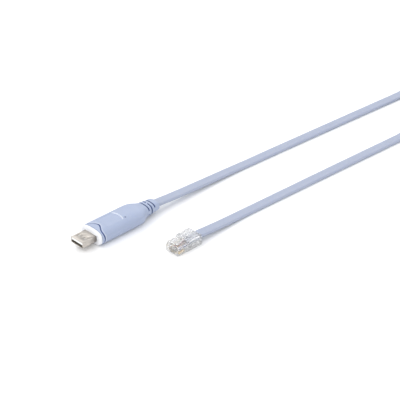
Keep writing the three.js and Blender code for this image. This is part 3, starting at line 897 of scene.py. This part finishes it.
PLUG_WIDTH = (plug_high[1] - plug_low[1]) / MM
PLUG_LENGTH = (plug_high[0] - plug_low[0]) / MM
PLUG_REAR_HEIGHT = plug_high[2] / MM
PLUG_FRONT_HEIGHT = 6.4
REAR_CUT = 0.3
NOSE_HEIGHT = 4.4
NOSE_LENGTH = 1.3
STEP_T = 8.6
WAYS = 8
PITCH = 1.02
JACKET_PITCH = 0.92
WIRE_RADIUS = 0.37
WIRE_Z = 4.3
WIRE_FRONT = 2.0
JACKET_FRONT = 11.4
JACKET_Z = 4.4
JACKET_ROOM = (4.25, 1.45)
BLADE_SLOT = 0.66
BLADE_SLOT_T = (0.7, 7.1)
POCKET = [(12.6, -1.0), (16.8, -1.0), (16.8, JACKET_Z), (15.6, JACKET_Z - JACKET_ROOM[1]), (12.6, 1.0)]
POCKET_HALF = 3.6
LATCH_LINE = [
    (1.7, 6.55), (3.0, 6.95), (5.5, 7.85), (8.0, 8.55),
    (10.5, 8.98), (13.0, 9.36), (15.5, 9.74), (17.6, 10.06),
]
LATCH_THICKNESS = 0.8
LATCH_BASE_HALF = 3.1
LATCH_TAB_HALF = 2.1
LATCH_SHOULDER = 8.0


def at_plug(t, y, z):
    return Vector((PLUG_X + t * MM, PLUG_Y + y * MM, z * MM))


def side_plate(name, outline, half_width):
    """A plate with this side view, as wide as twice half_width."""
    mesh = bmesh.new()
    near = [mesh.verts.new(at_plug(t, -half_width, z)) for t, z in outline]
    far = [mesh.verts.new(at_plug(t, half_width, z)) for t, z in outline]
    mesh.faces.new(near)
    mesh.faces.new(list(reversed(far)))
    for i in range(len(outline)):
        k = (i + 1) % len(outline)
        mesh.faces.new((near[k], near[i], far[i], far[k]))
    return finished(mesh, name)


def plug_box(name, t, y, z):
    low, high = at_plug(t[0], y[0], z[0]), at_plug(t[1], y[1], z[1])
    return bpy.data.objects.new(name, box_mesh(name, low, high))


def way_y(i, pitch=PITCH):
    return (i - (WAYS - 1) / 2) * pitch


def add_plug_body(material):
    outline = [
        (0, 0), (PLUG_LENGTH, 0), (PLUG_LENGTH, PLUG_REAR_HEIGHT - REAR_CUT),
        (PLUG_LENGTH - REAR_CUT, PLUG_REAR_HEIGHT), (STEP_T + 0.8, PLUG_REAR_HEIGHT),
        (STEP_T, PLUG_FRONT_HEIGHT), (NOSE_LENGTH, PLUG_FRONT_HEIGHT), (0, NOSE_HEIGHT),
    ]
    plate = side_plate("plug_housing", outline, PLUG_WIDTH / 2)
    body = add_piece("plug_housing", plate, material, smooth=False)
    bevel_edges(body, 0.16 * MM)
    room = WAYS * PITCH / 2 + 0.1
    wire_z = (WIRE_Z - 0.6, WIRE_Z + 0.6)
    cutters = [plug_box("wire_room", (WIRE_FRONT - 0.4, JACKET_FRONT), (-room, room), wire_z)]
    half, rise = JACKET_ROOM
    jacket_z = (JACKET_Z - rise, JACKET_Z + rise)
    cutters.append(plug_box("jacket_room", (JACKET_FRONT - 0.4, PLUG_LENGTH + 1), (-half, half), jacket_z))
    for i in range(WAYS):
        y = (way_y(i) - BLADE_SLOT / 2, way_y(i) + BLADE_SLOT / 2)
        cutters.append(plug_box("blade_slot", BLADE_SLOT_T, y, (-1, WIRE_Z)))
    cutters.append(bpy.data.objects.new("pocket", side_plate("pocket", POCKET, POCKET_HALF)))
    for cutter in cutters:
        cut_away(body, cutter)
    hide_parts("plug_body")
    return body


def add_latch(material):
    """Latch with its wide base, shoulders and the narrower tab that rises to the rear."""
    high_line = [(t, z + LATCH_THICKNESS) for t, z in LATCH_LINE[1:]]
    outline = [*LATCH_LINE, (18.0, 10.3), (18.0, 10.7), *reversed(high_line), (2.0, 7.3), (1.6, 7.0)]
    plate = side_plate("plug_latch_tab", outline, LATCH_BASE_HALF)
    latch = add_piece("plug_latch_tab", plate, material, body=LATCH, smooth=False)
    for side in (-1, 1):
        y = sorted((side * LATCH_TAB_HALF, side * 4.5))
        cut_away(latch, plug_box("notch", (LATCH_SHOULDER, 19.0), y, (0, 20)))
    bevel_edges(latch, 0.14 * MM)
    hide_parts("plug_latch")
    return latch


def add_wires(colours):
    """Eight insulated wires, from the jacket's end forward to the blades."""
    sides = 16
    for i, colour in enumerate(colours):
        back = way_y(i, JACKET_PITCH)
        stops = [
            (WIRE_FRONT, way_y(i)), (JACKET_FRONT - 4.6, way_y(i)),
            (JACKET_FRONT - 2.9, way_y(i) * 0.98 + back * 0.02),
            (JACKET_FRONT - 2.0, (way_y(i) + back) / 2),
            (JACKET_FRONT - 1.0, back), (JACKET_FRONT - 0.3, back),
        ]
        rings = []
        for t, y in stops:
            ring = []
            for k in range(sides):
                angle = 2 * math.pi * k / sides
                across, up = WIRE_RADIUS * math.cos(angle), WIRE_RADIUS * math.sin(angle)
                ring.append(at_plug(t, y + across, WIRE_Z + up))
            rings.append(ring)
        name = f"wire_{i + 1}"
        wire = add_piece(f"{name}_insulated", tube_mesh(f"{name}_insulated", rings),
                         wire_insulation(f"insulation_{i + 1}", colour))
        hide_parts(name)


def dress(names, material):
    """Gives CAD nodes that keep their shape their material."""
    for name in names:
        node = bpy.data.objects[name]
        node.data.materials.clear()
        node.data.materials.append(material)


# Put together

add_camera()
floor = add_studio()
floor.data.materials.append(table_top("white_table"))
jacket = cord_jacket("cord_jacket_blue", (0.355, 0.395, 0.50), (0.325, 0.365, 0.475))
tie = add_tie(moulded_plastic("tie_strap_black", (0.03, 0.03, 0.035), (0.022, 0.022, 0.026), 0.5))
add_cord(jacket)
add_cord_end(jacket)
# The housing's last two colours are painted light: a dark blue shade for the grooves and slots and a light
# blue-grey highlight for the lips.
add_housing(housing_plastic("housing_blue", (0.355, 0.41, 0.55), (0.335, 0.39, 0.53), (0.03, 0.07, 0.23),
                            (0.62, 0.66, 0.74), 0.40))
add_collar(moulded_plastic("collar_white", (0.80, 0.81, 0.84), (0.77, 0.78, 0.82), 0.38))
add_shell(plated_steel("nickel_plate", (0.60, 0.56, 0.51), 0.40))
clear = clear_plastic("clear_polycarbonate")
add_plug_body(clear)
add_latch(clear)
add_wires([
    (0.04, 0.10, 0.40), (0.75, 0.25, 0.04), (0.02, 0.02, 0.018), (0.60, 0.03, 0.05),
    (0.01, 0.22, 0.14), (0.80, 0.60, 0.08), (0.20, 0.08, 0.03), (0.80, 0.80, 0.78),
])
dress(["usb_tongue"], moulded_plastic("tongue_white", (0.85, 0.85, 0.83), (0.80, 0.80, 0.78), 0.4))
gold = plated_steel("gold_flash", (0.83, 0.60, 0.24), 0.25)
dress([f"usb_contact_{i}" for i in range(1, 5)] + [f"plug_contact_{i}" for i in range(1, 9)], gold)
